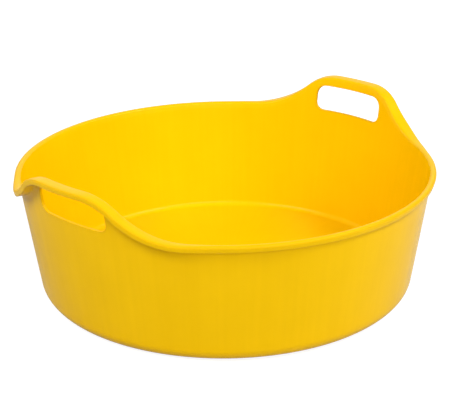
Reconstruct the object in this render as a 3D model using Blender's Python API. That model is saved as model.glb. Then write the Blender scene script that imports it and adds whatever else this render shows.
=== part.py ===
"""Low bucket: a shallow round tub with two grip handles, moulded in one piece.

A flexible polyethylene feed and wash tub of about 15 litres. Base, wall, lip and
both handles are a single injection moulding, so the object is one solid. The
handles stand on the X axis, +Z is up, and the origin is at the middle of the base.
"""

from math import acos, atan, cos, hypot, pi, radians, sin

import bmesh
import bpy

# Wall and rim
RIM_RADIUS = 0.2095          # outer face of the wall at the height of the low rim
BASE_RADIUS = 0.1910         # the same face carried down to the ground
RIM_HEIGHT = 0.1262          # top of the low rim between the handles
WALL = 0.0031                # wall thickness, measured level

# Base
BASE_ROUND = 0.0152          # outer corner between wall and ground
FLOOR_ROUND = 0.0065         # inner corner between wall and floor
FLOOR = 0.0033               # floor thickness
FOOT_WIDTH = 0.0090          # flat ring that the tub stands on
FOOT_HEIGHT = 0.0012         # the floor's underside is raised this much inside the ring
FOOT_SLOPE = 0.0015          # level run of the step between ring and raised underside
GATE_RADIUS = 0.0060         # round pad where the plastic entered the mould
GATE_HEIGHT = 0.0006

# Lip that runs round the rim and over the handles
LIP_OVERHANG = 0.0036        # beyond the wall at the low rim
LIP_THICKNESS = 0.0071
LIP_TOP_ROUND = 0.0020       # outer upper edge
LIP_UNDER_ROUND = 0.0016     # outer lower edge
GRIP_OVERHANG = 0.0102       # beyond the wall over a handle
GRIP_THICKNESS = 0.0058
GRIP_TOP_ROUND = 0.0014
GRIP_UNDER_ROUND = 0.0012
INNER_ROUND = 0.0026         # inner upper edge, all the way round
WIDENING_LEAD = 0.0300       # the lip begins to widen this far before the rim rises
WIDENING_RUN = 0.0765        # and reaches its full width after this run

# Handles: the rim rises to a level crown and falls again on both sides
HANDLE_RISE = 0.0381         # crown above the low rim
SHOULDER_RADIUS = 0.0515     # rounded side, next to the crown
FLANK_FOOT_RADIUS = 0.0960   # hollow side, where the fall runs out into the rim

# Grip hole through each handle
HOLE_WIDTH = 0.0866
HOLE_HEIGHT = 0.0278
HOLE_ARCH = 0.0004           # the hole's middle stands this much above its ends
HOLE_TOP_ROUND = 0.0110
HOLE_BOTTOM_ROUND = 0.0092
GRIP_BAR = 0.0099            # from the crown down to the hole
CROWN_INSET = 0.0208         # the level crown ends this far inside the hole's side

# Mesh fineness
COLUMNS = 120                # round the tub
CORNER_STEPS = 5             # base and floor corners
EDGE_STEPS = 3               # lip edges
HOLE_STEPS = 5               # corners of the grip hole

MOULDED_YELLOW = (0.991, 0.590, 0.003, 1.0)


def wall_grade():
    """How far the wall leans out for each metre it rises."""
    return (RIM_RADIUS - BASE_RADIUS) / RIM_HEIGHT


def wall_radius(z):
    """Radius of the wall's outer face at height z."""
    return BASE_RADIUS + wall_grade() * z


def rim_line(s):
    """Rim at the distance s from a handle's middle: its height, slope and share of the grip's width."""
    crown_end = HOLE_WIDTH / 2 - CROWN_INSET
    steepest = acos(1 - HANDLE_RISE / (SHOULDER_RADIUS + FLANK_FOOT_RADIUS))
    shoulder_end = crown_end + SHOULDER_RADIUS * sin(steepest)
    foot_end = shoulder_end + FLANK_FOOT_RADIUS * sin(steepest)
    widening = (foot_end + WIDENING_LEAD - s) / WIDENING_RUN
    widening = min(max(widening, 0.0), 1.0)
    share = widening * widening * (3 - 2 * widening)
    if s < crown_end:
        return RIM_HEIGHT + HANDLE_RISE, 0.0, share
    if s < shoulder_end:
        across = s - crown_end
        down = (SHOULDER_RADIUS**2 - across**2) ** 0.5
        return RIM_HEIGHT + HANDLE_RISE - SHOULDER_RADIUS + down, -across / down, share
    if s < foot_end:
        across = foot_end - s
        down = (FLANK_FOOT_RADIUS**2 - across**2) ** 0.5
        return RIM_HEIGHT + FLANK_FOOT_RADIUS - down, -across / down, share
    return RIM_HEIGHT, 0.0, share


def corner(radius_at_ground, floor_height, round_radius, steps):
    """Arc between a level floor and the sloping wall, from the floor outwards."""
    grade = wall_grade()
    lean = atan(grade)
    centre_z = floor_height + round_radius
    centre_r = radius_at_ground + grade * centre_z - round_radius * hypot(1, grade)
    points = []
    for step in range(steps + 1):
        turn = -pi / 2 + (pi / 2 - lean) * step / steps
        points.append((centre_r + round_radius * cos(turn), centre_z + round_radius * sin(turn)))
    return points


def edge(centre_r, centre_z, round_radius, stretch, start, end):
    """Quarter round of the lip. Its height is stretched where the rim slopes."""
    points = []
    for step in range(EDGE_STEPS + 1):
        turn = start + (end - start) * step / EDGE_STEPS
        points.append((centre_r + round_radius * cos(turn), centre_z + round_radius * sin(turn) * stretch))
    return points


def lip(angle):
    """Section of the lip, from the wall below it, round the outside, to the inner wall.

    Its outer face leans as the wall does, so that it leaves the mould.
    """
    turn_from_handle = abs((angle + pi / 2) % pi - pi / 2)
    top, slope, share = rim_line(RIM_RADIUS * turn_from_handle)
    stretch = hypot(1, slope)
    thickness = LIP_THICKNESS + (GRIP_THICKNESS - LIP_THICKNESS) * share
    overhang = LIP_OVERHANG + (GRIP_OVERHANG - LIP_OVERHANG) * share
    outer = wall_radius(top) + overhang
    inner = wall_radius(top) - WALL
    under = top - thickness * stretch
    draft = wall_grade() * thickness
    low = min(LIP_UNDER_ROUND + (GRIP_UNDER_ROUND - LIP_UNDER_ROUND) * share, 0.45 * overhang)
    high = min(LIP_TOP_ROUND + (GRIP_TOP_ROUND - LIP_TOP_ROUND) * share, 0.35 * thickness)
    near = min(INNER_ROUND, 0.4 * (WALL + overhang), 0.45 * thickness)
    points = [(wall_radius(under), under)]
    points += edge(outer - draft - low, under + low * stretch, low, stretch, -pi / 2, 0)
    points += edge(outer - high, top - high * stretch, high, stretch, 0, pi / 2)
    points += edge(inner + near, top - near * stretch, near, stretch, pi / 2, pi)
    return points


def whole_section(angle):
    """Whole section of the tub at one angle, from the gate pad round to the floor."""
    outer_corner = corner(BASE_RADIUS, 0.0, BASE_ROUND, CORNER_STEPS)
    floor_top = FOOT_HEIGHT + FLOOR
    inner_corner = corner(BASE_RADIUS - WALL, floor_top, FLOOR_ROUND, CORNER_STEPS)
    ring_inside = outer_corner[0][0] - FOOT_WIDTH
    underside = [
        (GATE_RADIUS, FOOT_HEIGHT - GATE_HEIGHT),
        (GATE_RADIUS, FOOT_HEIGHT),
        (ring_inside - FOOT_SLOPE, FOOT_HEIGHT),
        (ring_inside, 0.0),
    ]
    return underside + outer_corner + lip(angle) + inner_corner[::-1]


def build_tub():
    """One closed skin: a section at every column, closed by a point below and above."""
    mesh = bmesh.new()
    below = mesh.verts.new((0, 0, FOOT_HEIGHT - GATE_HEIGHT))
    above = mesh.verts.new((0, 0, FOOT_HEIGHT + FLOOR))
    columns = []
    for column in range(COLUMNS):
        angle = 2 * pi * column / COLUMNS
        points = whole_section(angle)
        columns.append([mesh.verts.new((r * cos(angle), r * sin(angle), z)) for r, z in points])
    for this, following in zip(columns, columns[1:] + columns[:1]):
        mesh.faces.new((below, following[0], this[0]))
        mesh.faces.new((above, this[-1], following[-1]))
        for row in range(len(this) - 1):
            mesh.faces.new((this[row], following[row], following[row + 1], this[row + 1]))
    return finish_mesh(mesh, "tub")


def hole_outline():
    """Grip hole as seen from outside: a level slot with rounded corners, as (y, z)."""
    top = RIM_HEIGHT + HANDLE_RISE - GRIP_BAR
    bottom = top - HOLE_HEIGHT
    upper = min(HOLE_TOP_ROUND, HOLE_HEIGHT / 2)
    lower = min(HOLE_BOTTOM_ROUND, HOLE_HEIGHT / 2)
    side = HOLE_WIDTH / 2
    centres = [
        (side - upper, top - upper, upper, 0),
        (upper - side, top - upper, upper, pi / 2),
        (lower - side, bottom + lower, lower, pi),
        (side - lower, bottom + lower, lower, 3 * pi / 2),
    ]
    points = []
    for y, z, radius, start in centres:
        for step in range(HOLE_STEPS + 1):
            turn = start + pi / 2 * step / HOLE_STEPS
            across = y + radius * cos(turn)
            sunk = HOLE_ARCH * (across / side) ** 2
            points.append((across, z + radius * sin(turn) - sunk))
    return points


def build_hole_cutter():
    """Straight bar along X that opens the grip hole in both handles."""
    reach = RIM_RADIUS + HANDLE_RISE + GRIP_OVERHANG
    mesh = bmesh.new()
    ends = [[mesh.verts.new((x, y, z)) for y, z in hole_outline()] for x in (-reach, reach)]
    mesh.faces.new(ends[0][::-1])
    mesh.faces.new(ends[1])
    count = len(ends[0])
    for index in range(count):
        after = (index + 1) % count
        mesh.faces.new((ends[0][index], ends[0][after], ends[1][after], ends[1][index]))
    cutter = finish_mesh(mesh, "grip_hole_cutter")
    cutter.hide_render = True
    cutter.display_type = "WIRE"
    return cutter


def finish_mesh(mesh, name):
    """Turn a bmesh into a smooth-shaded object in the scene."""
    bmesh.ops.recalc_face_normals(mesh, faces=mesh.faces)
    data = bpy.data.meshes.new(name)
    mesh.to_mesh(data)
    mesh.free()
    data.shade_smooth()
    data.set_sharp_from_angle(angle=radians(32))
    made = bpy.data.objects.new(name, data)
    bpy.context.scene.collection.objects.link(made)
    return made


def moulded_polyethylene():
    """Yellow low-density polyethylene with a satin moulded skin."""
    material = bpy.data.materials.new("moulded_polyethylene")
    material.use_nodes = True
    shader = material.node_tree.nodes["Principled BSDF"]
    shader.inputs["Base Color"].default_value = MOULDED_YELLOW
    shader.inputs["Roughness"].default_value = 0.38
    shader.inputs["Metallic"].default_value = 0.0
    shader.inputs["IOR"].default_value = 1.51
    return material


for old in list(bpy.data.objects):
    bpy.data.objects.remove(old)

tub = build_tub()
tub.data.materials.append(moulded_polyethylene())
cut = tub.modifiers.new("grip_holes", "BOOLEAN")
cut.operation = "DIFFERENCE"
cut.solver = "EXACT"
cut.object = build_hole_cutter()
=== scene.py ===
"""Low bucket: a shallow round feed and wash tub, moulded in one piece in yellow polyethylene.

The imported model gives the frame. One finely made moulding stands for its single
node: base, wall, rolled lip and both pierced handles are one skin, as on the real tub.
"""

from math import acos, asin, atan, atan2, cos, hypot, pi, radians, sin

import bpy
from mathutils import Matrix, Vector


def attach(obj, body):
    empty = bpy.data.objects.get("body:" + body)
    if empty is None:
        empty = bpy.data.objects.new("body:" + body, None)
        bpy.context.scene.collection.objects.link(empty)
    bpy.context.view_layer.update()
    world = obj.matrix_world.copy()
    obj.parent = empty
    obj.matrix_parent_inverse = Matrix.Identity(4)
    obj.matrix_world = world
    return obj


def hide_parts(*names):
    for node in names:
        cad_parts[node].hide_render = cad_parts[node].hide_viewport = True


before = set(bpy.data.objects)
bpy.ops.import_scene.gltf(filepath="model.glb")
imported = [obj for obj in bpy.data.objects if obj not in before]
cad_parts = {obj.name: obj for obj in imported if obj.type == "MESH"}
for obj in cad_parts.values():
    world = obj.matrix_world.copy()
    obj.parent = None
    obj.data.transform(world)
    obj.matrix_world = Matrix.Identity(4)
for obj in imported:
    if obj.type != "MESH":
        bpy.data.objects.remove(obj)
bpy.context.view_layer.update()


# The moulding's lines. A core and a cavity shape the tub: a wall that leans out by 8
# degrees so that it leaves the mould, a flat floor, and a rim that climbs from the low
# stretches into a level crown over each handle. Lengths are in metres.
RIM_RADIUS = 0.2095
BASE_RADIUS = 0.1910
RIM_HEIGHT = 0.1262
WALL = 0.0031
HANDLE_RISE = 0.0381
SHOULDER_RADIUS = 0.0515
FLANK_FOOT_RADIUS = 0.0960
CROWN_HALF = 0.0225
WIDENING_LEAD = 0.0300
WIDENING_RUN = 0.0765
COLUMNS = 360


def wall_radius(z):
    """Outer face of the leaning wall at height z."""
    return BASE_RADIUS + (RIM_RADIUS - BASE_RADIUS) * z / RIM_HEIGHT


def rim_line(s):
    """Rim at the distance s round from a handle's middle: height, slope, share of grip width."""
    steepest = acos(1 - HANDLE_RISE / (SHOULDER_RADIUS + FLANK_FOOT_RADIUS))
    shoulder_end = CROWN_HALF + SHOULDER_RADIUS * sin(steepest)
    foot_end = shoulder_end + FLANK_FOOT_RADIUS * sin(steepest)
    widening = min(max((foot_end + WIDENING_LEAD - s) / WIDENING_RUN, 0.0), 1.0)
    share = widening * widening * (3 - 2 * widening)
    crown = RIM_HEIGHT + HANDLE_RISE
    if s < CROWN_HALF:
        return crown, 0.0, share
    if s < shoulder_end:
        across = s - CROWN_HALF
        down = (SHOULDER_RADIUS**2 - across**2) ** 0.5
        return crown - SHOULDER_RADIUS + down, -across / down, share
    if s < foot_end:
        across = foot_end - s
        down = (FLANK_FOOT_RADIUS**2 - across**2) ** 0.5
        return RIM_HEIGHT + FLANK_FOOT_RADIUS - down, -across / down, share
    return RIM_HEIGHT, 0.0, share


def arc(centre_r, centre_z, radius, start, end, steps, stretch=1.0):
    """Points (r, z) of a round in the section, with its height stretched on a sloping rim."""
    points = []
    for step in range(steps + 1):
        turn = radians(start + (end - start) * step / steps)
        points.append((centre_r + radius * cos(turn), centre_z + radius * sin(turn) * stretch))
    return points


# Base. It stands on a ring 9 mm wide. The floor inside the ring is raised by 1.2 mm, so
# that the tub doesn't rock, and round a small pad in its middle the plastic came in.
BASE_ROUND = 0.0152
FLOOR_ROUND = 0.0065
FLOOR = 0.0033
FOOT_WIDTH = 0.0090
FOOT_HEIGHT = 0.0012
FOOT_STEP = ((0.0020, FOOT_HEIGHT), (0.0015, FOOT_HEIGHT - 0.0002), (0.0003, 0.0001), (0.0, 0.0))
GATE_RADIUS = 0.0060
GATE_HEIGHT = 0.0006
GATE_EDGE = 0.0003
GATE_SLOPE = 0.0002
MARK_RADIUS = 0.0020
MARK_SLOPE = 0.0005
MARK_HEIGHT = 0.0004
UNDERSIDE_ROWS = (0.0400, 0.0900, 0.1400)
FLOOR_ROWS = (0.96, 0.84, 0.70, 0.55, 0.40, 0.25, 0.12, 0.04)
CORNER_STEPS = 12
GRADE = (RIM_RADIUS - BASE_RADIUS) / RIM_HEIGHT
LEAN = atan(GRADE) * 180 / pi
FLOOR_TOP = FOOT_HEIGHT + FLOOR


def base_corner(radius_at_ground, floor_height, round_radius):
    """Arc between the level floor and the leaning wall, from the floor outwards."""
    centre_z = floor_height + round_radius
    centre_r = radius_at_ground + GRADE * centre_z - round_radius * hypot(1, GRADE)
    return arc(centre_r, centre_z, round_radius, -90, -LEAN, CORNER_STEPS)


outer_corner = base_corner(BASE_RADIUS, 0.0, BASE_ROUND)
inner_corner = base_corner(BASE_RADIUS - WALL, FLOOR_TOP, FLOOR_ROUND)

# Underside from the middle outwards: the mark where the plastic was cut off, the pad round
# it, the raised floor, and the step down to the ring.
pad_height = FOOT_HEIGHT - GATE_HEIGHT
mark_height = pad_height - MARK_HEIGHT
ring_inside = outer_corner[0][0] - FOOT_WIDTH
underside = [
    (MARK_RADIUS - MARK_SLOPE, mark_height),
    (MARK_RADIUS, pad_height),
    (GATE_RADIUS - GATE_EDGE, pad_height),
    (GATE_RADIUS, pad_height + GATE_EDGE),
    (GATE_RADIUS + GATE_SLOPE, FOOT_HEIGHT),
]
underside += [(r, FOOT_HEIGHT) for r in UNDERSIDE_ROWS]
underside += [(ring_inside - back, height) for back, height in FOOT_STEP]
floor_rows = [(inner_corner[0][0] * share, FLOOR_TOP) for share in FLOOR_ROWS]

# Lip. The rim turns outwards into a solid lip with a level top. Its outer face leans as the
# wall does, and it is wider over the handles, where it is the grip that fingers close round.
LIP_OVERHANG = 0.0036
LIP_THICKNESS = 0.0071
LIP_TOP_ROUND = 0.0020
LIP_UNDER_ROUND = 0.0016
GRIP_OVERHANG = 0.0102
GRIP_THICKNESS = 0.0058
GRIP_TOP_ROUND = 0.0014
GRIP_UNDER_ROUND = 0.0012
INNER_ROUND = 0.0026
LIP_ROOT_ROUND = 0.0010
LIP_CROWN = 0.0002
ROOT_STEPS = 4
EDGE_STEPS = 8
TOP_STEPS = 6
INNER_STEPS = 6

# Painted shade on the lip: its outer rounding and top face the lamps, and these shares of a deeper,
# duller colour darken them. They run from its outer edge, where they are highest, over the top and
# down to the inner wall, one for each row of the section.
LIP_SHADE_START = ROOT_STEPS + EDGE_STEPS + 2
LIP_SHADE_EDGE = (0.1, 0.4, 0.8, 1.0, 1.0, 1.0, 1.0, 0.9, 0.7)
LIP_SHADE_TOP = (0.5, 0.4, 0.4, 0.4, 0.4)
LIP_SHADE_INSIDE = (0.4, 0.4, 0.4, 0.3, 0.2, 0.1, 0.0)


def lip(angle):
    """Section of the lip from the wall's outer face under it, over the top, to the inner wall."""
    from_handle = abs((angle + pi / 2) % pi - pi / 2)
    top, slope, share = rim_line(RIM_RADIUS * from_handle)
    stretch = hypot(1, slope)
    thickness = LIP_THICKNESS + (GRIP_THICKNESS - LIP_THICKNESS) * share
    outer = wall_radius(top) + LIP_OVERHANG + (GRIP_OVERHANG - LIP_OVERHANG) * share
    inner = wall_radius(top) - WALL
    under = top - thickness * stretch
    root = LIP_ROOT_ROUND
    low = LIP_UNDER_ROUND + (GRIP_UNDER_ROUND - LIP_UNDER_ROUND) * share
    high = LIP_TOP_ROUND + (GRIP_TOP_ROUND - LIP_TOP_ROUND) * share
    root_r = wall_radius(under) + root
    points = arc(root_r, under - root * stretch, root, 180, 90, ROOT_STEPS, stretch)
    draft = GRADE * thickness
    points += arc(outer - draft - low, under + low * stretch, low, -90, -LEAN, EDGE_STEPS, stretch)
    high_r = outer - high
    points += arc(high_r, top - high * stretch, high, -LEAN, 90, EDGE_STEPS, stretch)
    near_r = inner + INNER_ROUND
    for step in range(1, TOP_STEPS):
        way = step / TOP_STEPS
        points.append((high_r + (near_r - high_r) * way, top + LIP_CROWN * 4 * way * (1 - way)))
    near_z = top - INNER_ROUND * stretch
    points += arc(near_r, near_z, INNER_ROUND, 90, 180, INNER_STEPS, stretch)
    return points


# Hand holes. A slot with rounded corners goes through each handle below the grip. Its rounded edges
# are painted a shade deeper and made duller, and its skin runs from the outer face to the inner
# one.
HOLE_HALF = 0.0433
HOLE_HEIGHT = 0.0278
HOLE_ARCH = 0.0004
HOLE_TOP_ROUND = 0.0110
HOLE_BOTTOM_ROUND = 0.0092
GRIP_BAR = 0.0099
HOLE_EDGE_ROUND = 0.0007
HOLE_EDGE_TURNS = (0, 18, 36, 54, 72, 90)
HOLE_CORNER_STEPS = 24
HOLE_EDGE_SHADE = 0.8
PATCH_COLUMNS = 14
PATCH_ROWS = 18
PATCH_BOTTOM = 0.1185
PATCH_LEAST_HEIGHT = 0.030
PATCH_MARGIN = 0.0025
PATCH_RINGS = (0.34, 0.64, 0.86)
ROWS_BELOW = 14
ROWS_UNDER_LIP = (0.34, 0.67)


def patch_span(under):
    """Lowest and highest height of the band of the wall that holds the holes."""
    high = under - PATCH_MARGIN
    return min(PATCH_BOTTOM, high - PATCH_LEAST_HEIGHT), high


def hole_points(grown):
    """The slot's outline as (y, z), grown outwards, a point for each one on the patch's edge."""
    top = RIM_HEIGHT + HANDLE_RISE - GRIP_BAR
    bottom = top - HOLE_HEIGHT
    up, low = HOLE_TOP_ROUND, HOLE_BOTTOM_ROUND
    corners = [
        (low - HOLE_HALF, bottom + low, low, pi),
        (HOLE_HALF - low, bottom + low, low, 3 * pi / 2),
        (HOLE_HALF - up, top - up, up, 0),
        (up - HOLE_HALF, top - up, up, pi / 2),
    ]
    sides = []
    for index, (y, z, radius, start) in enumerate(corners):
        y_next, z_next, radius_next, start_next = corners[(index + 1) % 4]
        reach, reach_next = radius + grown, radius_next + grown
        line = []
        for step in range(HOLE_CORNER_STEPS + 1):
            turn = start + pi / 4 + pi / 4 * step / HOLE_CORNER_STEPS
            line.append((y + reach * cos(turn), z + reach * sin(turn)))
        for step in range(HOLE_CORNER_STEPS + 1):
            turn = start_next + pi / 4 * step / HOLE_CORNER_STEPS
            line.append((y_next + reach_next * cos(turn), z_next + reach_next * sin(turn)))
        sides.append(line)
    counts = (2 * PATCH_COLUMNS, PATCH_ROWS, 2 * PATCH_COLUMNS, PATCH_ROWS)
    points = []
    for line, count in zip(sides, counts):
        lengths = [0.0]
        for a, b in zip(line, line[1:]):
            lengths.append(lengths[-1] + hypot(b[0] - a[0], b[1] - a[1]))
        for step in range(count):
            wanted = lengths[-1] * step / count
            at = max(i for i, length in enumerate(lengths) if length <= wanted)
            at = min(at, len(line) - 2)
            share = (wanted - lengths[at]) / max(lengths[at + 1] - lengths[at], 1e-9)
            y = line[at][0] + (line[at + 1][0] - line[at][0]) * share
            z = line[at][1] + (line[at + 1][1] - line[at][1]) * share
            points.append((y, z - HOLE_ARCH * (y / HOLE_HALF) ** 2))
    return points


# The whole skin, column by column round the tub. Every row follows one line of the
# section, and the two bands with the hand holes are left open and filled by rings.
verts, faces = [], []


def add(r, angle, z):
    """A point of the skin, given round the tub's axis. It returns the point's number."""
    verts.append((r * cos(angle), r * sin(angle), z))
    return len(verts) - 1


columns = []
painted_shade_shares = {}
for column in range(COLUMNS):
    angle = 2 * pi * column / COLUMNS
    rim = lip(angle)
    band_low, band_high = patch_span(rim[ROOT_STEPS][1])
    section = list(underside) + list(outer_corner)
    corner_top = outer_corner[-1][1]
    for step in range(1, ROWS_BELOW + 1):
        z = corner_top + (band_low - corner_top) * step / ROWS_BELOW
        section.append((wall_radius(z), z))
    outer_start = len(section) - 1
    for step in range(1, PATCH_ROWS + 1):
        z = band_low + (band_high - band_low) * step / PATCH_ROWS
        section.append((wall_radius(z), z))
    rim_start = len(section)
    section += rim
    lip_end = rim[-1][1]
    for share in ROWS_UNDER_LIP:
        z = lip_end + (band_high - lip_end) * share
        section.append((wall_radius(z) - WALL, z))
    inner_start = len(section)
    for step in range(PATCH_ROWS + 1):
        z = band_high + (band_low - band_high) * step / PATCH_ROWS
        section.append((wall_radius(z) - WALL, z))
    corner_top = inner_corner[-1][1]
    for step in range(1, ROWS_BELOW):
        z = band_low + (corner_top - band_low) * step / ROWS_BELOW
        section.append((wall_radius(z) - WALL, z))
    section += inner_corner[::-1]
    section += floor_rows
    columns.append([add(r, angle, z) for r, z in section])
    # The lip's rows get their shares of painted shade.
    for step, share in enumerate(LIP_SHADE_EDGE + LIP_SHADE_TOP + LIP_SHADE_INSIDE):
        painted_shade_shares[columns[-1][rim_start + LIP_SHADE_START + step]] = share

below = add(0, 0, mark_height)
above = add(0, 0, FLOOR_TOP)
half_turn = COLUMNS // 2
for column in range(COLUMNS):
    this, following = columns[column], columns[(column + 1) % COLUMNS]
    faces.append((below, following[0], this[0]))
    faces.append((above, this[-1], following[-1]))
    in_patch = (column + PATCH_COLUMNS) % half_turn < 2 * PATCH_COLUMNS
    for row in range(len(this) - 1):
        outer_hole = outer_start <= row < outer_start + PATCH_ROWS
        inner_hole = inner_start <= row < inner_start + PATCH_ROWS
        if in_patch and (outer_hole or inner_hole):
            continue
        faces.append((this[row], following[row], following[row + 1], this[row + 1]))


def patch_edge(middle, first_row, going_up):
    """Points round the left-out band, anticlockwise seen from outside, from its low -Y corner."""
    steps = range(-PATCH_COLUMNS, PATCH_COLUMNS + 1)
    cols = [columns[(middle + step) % COLUMNS] for step in steps]
    rows = [first_row + step for step in range(PATCH_ROWS + 1)]
    if not going_up:
        rows = rows[::-1]
    edge = [c[rows[0]] for c in cols[:-1]]
    edge += [cols[-1][row] for row in rows[:-1]]
    edge += [c[rows[-1]] for c in cols[:0:-1]]
    edge += [cols[0][row] for row in rows[:0:-1]]
    return edge


def ring_on_wall(middle_angle, points, depth):
    """A ring of the hole's skin at one depth below the outer face, cut straight through along X."""
    ring = []
    for y, z in points:
        # Every point of the hole's edge gets painted shade.
        painted_shade_shares[len(verts)] = HOLE_EDGE_SHADE
        r = wall_radius(z) - depth
        ring.append(add(r, middle_angle + asin(y / r), z))
    return ring


def join(one, two):
    """Faces between two rings with the same number of points."""
    count = len(one)
    for index in range(count):
        after = (index + 1) % count
        faces.append((one[index], one[after], two[after], two[index]))


def rings_to_hole(wall_edge, middle_angle, mouth, depth, shares):
    """Rings on one face of the wall, between the left-out band's edge and the hole's mouth."""
    made = []
    for share in shares:
        ring = []
        for index, (y, z) in zip(wall_edge, mouth):
            x_far, y_far, z_far = verts[index]
            turn_far = atan2(y_far, x_far) - middle_angle
            turn_far = (turn_far + pi) % (2 * pi) - pi
            turn_near = asin(y / (wall_radius(z) - depth))
            z_mid = z_far + (z - z_far) * share
            turn = turn_far + (turn_near - turn_far) * share
            ring.append(add(wall_radius(z_mid) - depth, middle_angle + turn, z_mid))
        made.append(ring)
    return made


for middle in (0, half_turn):
    middle_angle = 2 * pi * middle / COLUMNS
    outer_edge = patch_edge(middle, outer_start, True)
    inner_edge = patch_edge(middle, inner_start, False)
    mouth = hole_points(HOLE_EDGE_ROUND)
    rings = [outer_edge]
    rings += rings_to_hole(outer_edge, middle_angle, mouth, 0.0, PATCH_RINGS)
    for degrees in HOLE_EDGE_TURNS:
        turn = radians(degrees)
        outline = hole_points(HOLE_EDGE_ROUND * (1 - sin(turn)))
        rings.append(ring_on_wall(middle_angle, outline, HOLE_EDGE_ROUND * (1 - cos(turn))))
    for degrees in HOLE_EDGE_TURNS[::-1]:
        turn = radians(degrees)
        outline = hole_points(HOLE_EDGE_ROUND * (1 - sin(turn)))
        rings.append(ring_on_wall(middle_angle, outline, WALL - HOLE_EDGE_ROUND * (1 - cos(turn))))
    rings += rings_to_hole(inner_edge, middle_angle, mouth, WALL, PATCH_RINGS[::-1])
    rings.append(inner_edge)
    for one, two in zip(rings, rings[1:]):
        join(one, two)

mesh = bpy.data.meshes.new("tub_moulding")
mesh.from_pydata(verts, [], faces)
# The attribute carries the shares of painted shade on the edges.
painted_edge_shade = mesh.attributes.new("painted_edge_shade", "FLOAT", "POINT")
for index, share in painted_shade_shares.items():
    painted_edge_shade.data[index].value = share
mesh.validate()
mesh.shade_smooth()
tub = bpy.data.objects.new("tub_moulding", mesh)
bpy.context.scene.collection.objects.link(tub)


def linear(hex_colour):
    """An sRGB hex colour as linear RGBA."""
    channels = []
    for start in (0, 2, 4):
        c = int(hex_colour[start : start + 2], 16) / 255
        channels.append(c / 12.92 if c <= 0.04045 else ((c + 0.055) / 1.055) ** 2.4)
    return (*channels, 1.0)


def node(tree, kind, inputs=None, **settings):
    """Adds a node, sets its properties, and gives its inputs values or other nodes' outputs."""
    made = tree.nodes.new(kind)
    for name, value in settings.items():
        setattr(made, name, value)
    for socket, value in (inputs or {}).items():
        if isinstance(value, bpy.types.NodeSocket):
            tree.links.new(value, made.inputs[socket])
        else:
            made.inputs[socket].default_value = value
    return made


# Skin of low-density polyethylene, moulded against polished steel. It comes out bright
# yellow and satin: the plastic fills the mould from the middle of the base, so faint
# flow lines run outwards over the floor and up the wall, and they ripple its reflections.
polyethylene = bpy.data.materials.new("low_density_polyethylene")
polyethylene.use_nodes = True
tree = polyethylene.node_tree
shader = tree.nodes["Principled BSDF"]
shader.inputs["IOR"].default_value = 1.51
shader.inputs["Specular IOR Level"].default_value = 0.09
shader.inputs["Specular Tint"].default_value = linear("FFF9CC")
place = node(tree, "ShaderNodeTexCoord")
position = place.outputs["Object"]

# Flow lines, 6 mm apart on the wall. They turn round the axis only, so they run straight up.
level = node(tree, "ShaderNodeVectorMath", {0: position, 1: (1, 1, 0)}, operation="MULTIPLY")
outwards = node(tree, "ShaderNodeVectorMath", {0: level.outputs[0]}, operation="NORMALIZE")
rise = node(tree, "ShaderNodeVectorMath", {0: position, 1: (0, 0, 0.15)}, operation="MULTIPLY")
along = node(
    tree,
    "ShaderNodeVectorMath",
    {0: outwards.outputs[0], 1: rise.outputs[0]},
    operation="ADD",
)
flow = node(
    tree,
    "ShaderNodeTexNoise",
    {"Vector": along.outputs[0], "Scale": 0.2 / 0.006, "Detail": 2.0, "Roughness": 0.55},
)

# The cooling wall draws in unevenly, in soft swells about 45 mm across.
swells = node(tree, "ShaderNodeTexNoise", {"Vector": position, "Scale": 1 / 0.045, "Detail": 1.0})

# Grain of the mould's polish. The real one is near 0.1 mm and is drawn at 0.9 mm to show.
grain = node(
    tree,
    "ShaderNodeTexNoise",
    {"Vector": position, "Scale": 1 / 0.0009, "Detail": 2.0, "Roughness": 0.6},
)

# Colour: the pigment is spread almost evenly, a shade deeper here and there, in patches
# about 60 mm across and along the flow lines.
pigment = node(
    tree,
    "ShaderNodeTexNoise",
    {"Vector": position, "Scale": 1 / 0.060, "Detail": 3.0, "Roughness": 0.6},
)
depth = node(
    tree,
    "ShaderNodeMapRange",
    {"Value": pigment.outputs[0], "From Min": 0.3, "From Max": 0.7},
)
streaks = node(
    tree,
    "ShaderNodeMapRange",
    {"Value": flow.outputs[0], "From Min": 0.3, "From Max": 0.7},
)
spread = node(
    tree,
    "ShaderNodeMix",
    {"Factor": 0.4, "A": depth.outputs[0], "B": streaks.outputs[0]},
)
tone = node(
    tree,
    "ShaderNodeMix",
    {"Factor": spread.outputs["Result"], "A": linear("E9B800"), "B": linear("EFBE03")},
    data_type="RGBA",
)

# Painted shade: the lip's outer edge and top and the edges of the hand holes, roundings that face
# the lamps, are painted a shade deeper. They are also made duller.
painted_shade = node(tree, "ShaderNodeAttribute", attribute_name="painted_edge_shade")
tone = node(
    tree,
    "ShaderNodeMix",
    {"Factor": painted_shade.outputs["Fac"], "A": tone.outputs["Result"], "B": linear("D9A800")},
    data_type="RGBA",
)
tree.links.new(tone.outputs["Result"], shader.inputs["Base Color"])

# Roughness: satin, with duller and glossier streaks along the flow, and duller on the edges that
# carry painted shade.
satin = node(
    tree,
    "ShaderNodeMapRange",
    {"Value": flow.outputs[0], "From Min": 0.3, "From Max": 0.7, "To Min": 0.18, "To Max": 0.23},
)
dull = node(
    tree,
    "ShaderNodeMath",
    {0: painted_shade.outputs["Fac"], 1: 0.3, 2: satin.outputs[0]},
    operation="MULTIPLY_ADD",
)
tree.links.new(dull.outputs[0], shader.inputs["Roughness"])

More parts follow.
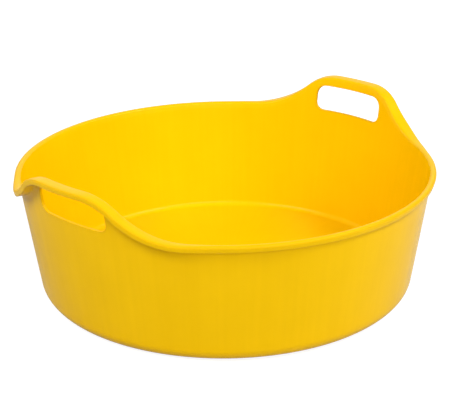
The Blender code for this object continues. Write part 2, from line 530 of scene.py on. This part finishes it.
# Relief: the swells are 0.35 mm deep and the flow lines 0.12 mm. The grain only takes the
# edge off the reflections.
relief = node(
    tree,
    "ShaderNodeBump",
    {"Height": swells.outputs[0], "Strength": 1.0, "Distance": 0.00035},
)
for pattern, height in ((flow, 0.00012), (grain, 0.000006)):
    relief = node(
        tree,
        "ShaderNodeBump",
        {
            "Height": pattern.outputs[0],
            "Strength": 1.0,
            "Distance": height,
            "Normal": relief.outputs[0],
        },
    )
tree.links.new(relief.outputs[0], shader.inputs["Normal"])
mesh.materials.append(polyethylene)
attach(tub, "root")
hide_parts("tub")


# Floor: white seamless paper. It looks white to the camera and in reflections, keeps a soft
# shadow under the tub, and throws back the light that a matt pale grey would.
PAPER_HALF = 6.0
# Direction in which the painted shade seen in reflections grows lighter.
LIT_SIDE = (0.674, -0.739, 0.0)


def seen_rays(tree):
    """Light Path, and 1 for the rays that see a surface: direct, mirrored or through glass."""
    rays = node(tree, "ShaderNodeLightPath")
    seen = node(
        tree,
        "ShaderNodeMath",
        {0: rays.outputs["Is Camera Ray"], 1: rays.outputs["Is Glossy Ray"]},
        operation="MAXIMUM",
    )
    seen = node(
        tree,
        "ShaderNodeMath",
        {0: seen.outputs[0], 1: rays.outputs["Is Transmission Ray"]},
        operation="MAXIMUM",
    )
    return rays, seen


paper_corners = [
    (-PAPER_HALF, -PAPER_HALF, 0),
    (PAPER_HALF, -PAPER_HALF, 0),
    (PAPER_HALF, PAPER_HALF, 0),
    (-PAPER_HALF, PAPER_HALF, 0),
]
floor_mesh = bpy.data.meshes.new("studio_floor")
floor_mesh.from_pydata(paper_corners, [], [(0, 1, 2, 3)])
floor = bpy.data.objects.new("studio_floor", floor_mesh)
bpy.context.scene.collection.objects.link(floor)
paper = bpy.data.materials.new("white_paper")
paper.use_nodes = True
tree = paper.node_tree
tree.nodes.clear()
rays, seen = seen_rays(tree)
matt = node(tree, "ShaderNodeBsdfDiffuse", {"Color": (0.45, 0.45, 0.45, 1)})
shade = node(tree, "ShaderNodeBsdfDiffuse", {"Color": (0.25, 0.25, 0.25, 1)})

# The paper glows white, a little less close to the tub, which paints a soft shadow round it.
spot = node(tree, "ShaderNodeTexCoord")
reach = node(tree, "ShaderNodeVectorMath", {0: spot.outputs["Object"]}, operation="LENGTH")
lift = node(
    tree,
    "ShaderNodeMapRange",
    {
        "Value": reach.outputs["Value"],
        "From Min": 0.25,
        "From Max": 0.9,
        "To Min": 0.84,
        "To Max": 1.0,
    },
)

# The tub's sides mirror the paper right beside them, and for these reflections the paper's glow is
# cut to a painted shade of the tub. The painted shade is deeper on one side than on the other,
# which the right-hand softboxes light.
lit_side = node(
    tree,
    "ShaderNodeVectorMath",
    {0: spot.outputs["Object"], 1: LIT_SIDE},
    operation="DOT_PRODUCT",
)
mirrored = node(
    tree,
    "ShaderNodeMapRange",
    {
        "Value": lit_side.outputs["Value"],
        "From Min": -0.25,
        "From Max": 0.25,
        "To Min": 0.2,
        "To Max": 0.46,
    },
)
beside = node(
    tree,
    "ShaderNodeMix",
    {"Factor": rays.outputs["Is Glossy Ray"], "A": 1.0, "B": mirrored.outputs[0]},
)
level = node(
    tree,
    "ShaderNodeMath",
    {0: lift.outputs[0], 1: beside.outputs["Result"]},
    operation="MULTIPLY",
)
glow = node(tree, "ShaderNodeEmission", {"Color": (1, 1, 1, 1), "Strength": level.outputs[0]})
bright = node(tree, "ShaderNodeAddShader", {0: shade.outputs[0], 1: glow.outputs[0]})
mixed = node(
    tree,
    "ShaderNodeMixShader",
    {0: seen.outputs[0], 1: matt.outputs[0], 2: bright.outputs[0]},
)
node(tree, "ShaderNodeOutputMaterial", {"Surface": mixed.outputs[0]})
floor_mesh.materials.append(paper)

# Backdrop: the room behind the paper. It is white where it is seen, and gives little light.
world = bpy.data.worlds.new("studio")
bpy.context.scene.world = world
world.use_nodes = True
tree = world.node_tree
tree.nodes.clear()
rays, seen = seen_rays(tree)
room = node(tree, "ShaderNodeBackground", {"Color": (1, 1, 1, 1), "Strength": 0.06})
white = node(tree, "ShaderNodeBackground", {"Color": (1, 1, 1, 1), "Strength": 1.0})
mixed = node(
    tree,
    "ShaderNodeMixShader",
    {0: seen.outputs[0], 1: room.outputs[0], 2: white.outputs[0]},
)
node(tree, "ShaderNodeOutputWorld", {"Surface": mixed.outputs[0]})

# Camera, at the photograph's viewing angle: 48 degrees round from the middle of a low rim
# towards a handle, looking down by 22 degrees. Angles are in radians.
CAMERA_TURN = 0.8314
CAMERA_DISTANCE = 1.2234
CAMERA_HEIGHT = 0.5729
CAMERA_PAN = -0.0006
CAMERA_TILT = 0.3792
CAMERA_ROLL = -0.0108
FOCAL_PIXELS = 1275.5
IMAGE_WIDTH = 450
SENSOR_WIDTH = 36.0


def to_row(v):
    """A direction or place as the camera sees it (right, away, up), turned into the row's frame."""
    return Vector((
        v[0] * cos(CAMERA_TURN) + v[1] * sin(CAMERA_TURN),
        -v[0] * sin(CAMERA_TURN) + v[1] * cos(CAMERA_TURN),
        v[2],
    ))


forward = Vector((
    sin(CAMERA_PAN) * cos(CAMERA_TILT),
    cos(CAMERA_PAN) * cos(CAMERA_TILT),
    -sin(CAMERA_TILT),
))
right = forward.cross(Vector((0, 0, 1))).normalized()
up = right.cross(forward)
rolled_right = right * cos(CAMERA_ROLL) + up * sin(CAMERA_ROLL)
rolled_up = up * cos(CAMERA_ROLL) - right * sin(CAMERA_ROLL)
camera_data = bpy.data.cameras.new("camera")
camera_data.sensor_width = SENSOR_WIDTH
camera_data.lens = FOCAL_PIXELS / IMAGE_WIDTH * SENSOR_WIDTH
camera = bpy.data.objects.new("camera", camera_data)
bpy.context.scene.collection.objects.link(camera)
axes = Matrix((to_row(rolled_right), to_row(rolled_up), -to_row(forward))).transposed()
camera_place = to_row((0, -CAMERA_DISTANCE, CAMERA_HEIGHT))
camera.matrix_world = Matrix.Translation(camera_place) @ axes.to_4x4()
bpy.context.scene.camera = camera

# Soft studio light: a softbox high on each side of the camera with a wider one beyond it,
# and large panels in front, low on the right and at the back left.
AIM_HEIGHT = 0.06


def softbox(name, place, width, height, watts):
    """An area light, placed as the camera sees it and aimed at the tub."""
    data = bpy.data.lights.new(name, "AREA")
    data.shape = "RECTANGLE"
    data.size = width
    data.size_y = height
    data.energy = watts
    lamp = bpy.data.objects.new(name, data)
    bpy.context.scene.collection.objects.link(lamp)
    at = to_row(place)
    lamp.location = at
    aim = Vector((0, 0, AIM_HEIGHT)) - at
    lamp.rotation_euler = aim.to_track_quat("-Z", "Y").to_euler()
    return lamp


def from_camera(turn, height, distance=2.2):
    """A place at a turn to the right of the camera and a height in degrees, seen from the tub."""
    turn, height = radians(turn), radians(height)
    return (
        sin(turn) * cos(height) * distance,
        -cos(turn) * cos(height) * distance,
        sin(height) * distance + AIM_HEIGHT,
    )


softbox("softbox_right", from_camera(66, 47), 0.5, 0.5, 19.0)
softbox("softbox_right_side", from_camera(90, 42), 0.8, 0.8, 11.5)
softbox("softbox_left", from_camera(-42, 50), 0.4, 0.5, 8.5)
softbox("softbox_left_side", from_camera(-60, 42), 0.8, 0.8, 20.5)
softbox("panel_front", from_camera(15, 25, 2.6), 1.8, 1.0, 20.0)
softbox("panel_front_high", from_camera(20, 35, 2.6), 1.8, 1.2, 21.0)
softbox("panel_low_right", from_camera(60, 20, 2.4), 1.2, 0.8, 3.5)
softbox("panel_back_left", from_camera(-110, 20, 2.4), 1.2, 1.2, 11.5)

# Two fills behind the tub light its back. They are left out of reflections, so that the lip
# doesn't mirror them.
for name, turn in (("fill_back_right", 140), ("fill_back", -165)):
    fill = softbox(name, from_camera(turn, 12, 2.4), 1.2, 1.0, 13.0)
    fill.visible_glossy = False

bpy.context.scene.view_settings.view_transform = "Standard"
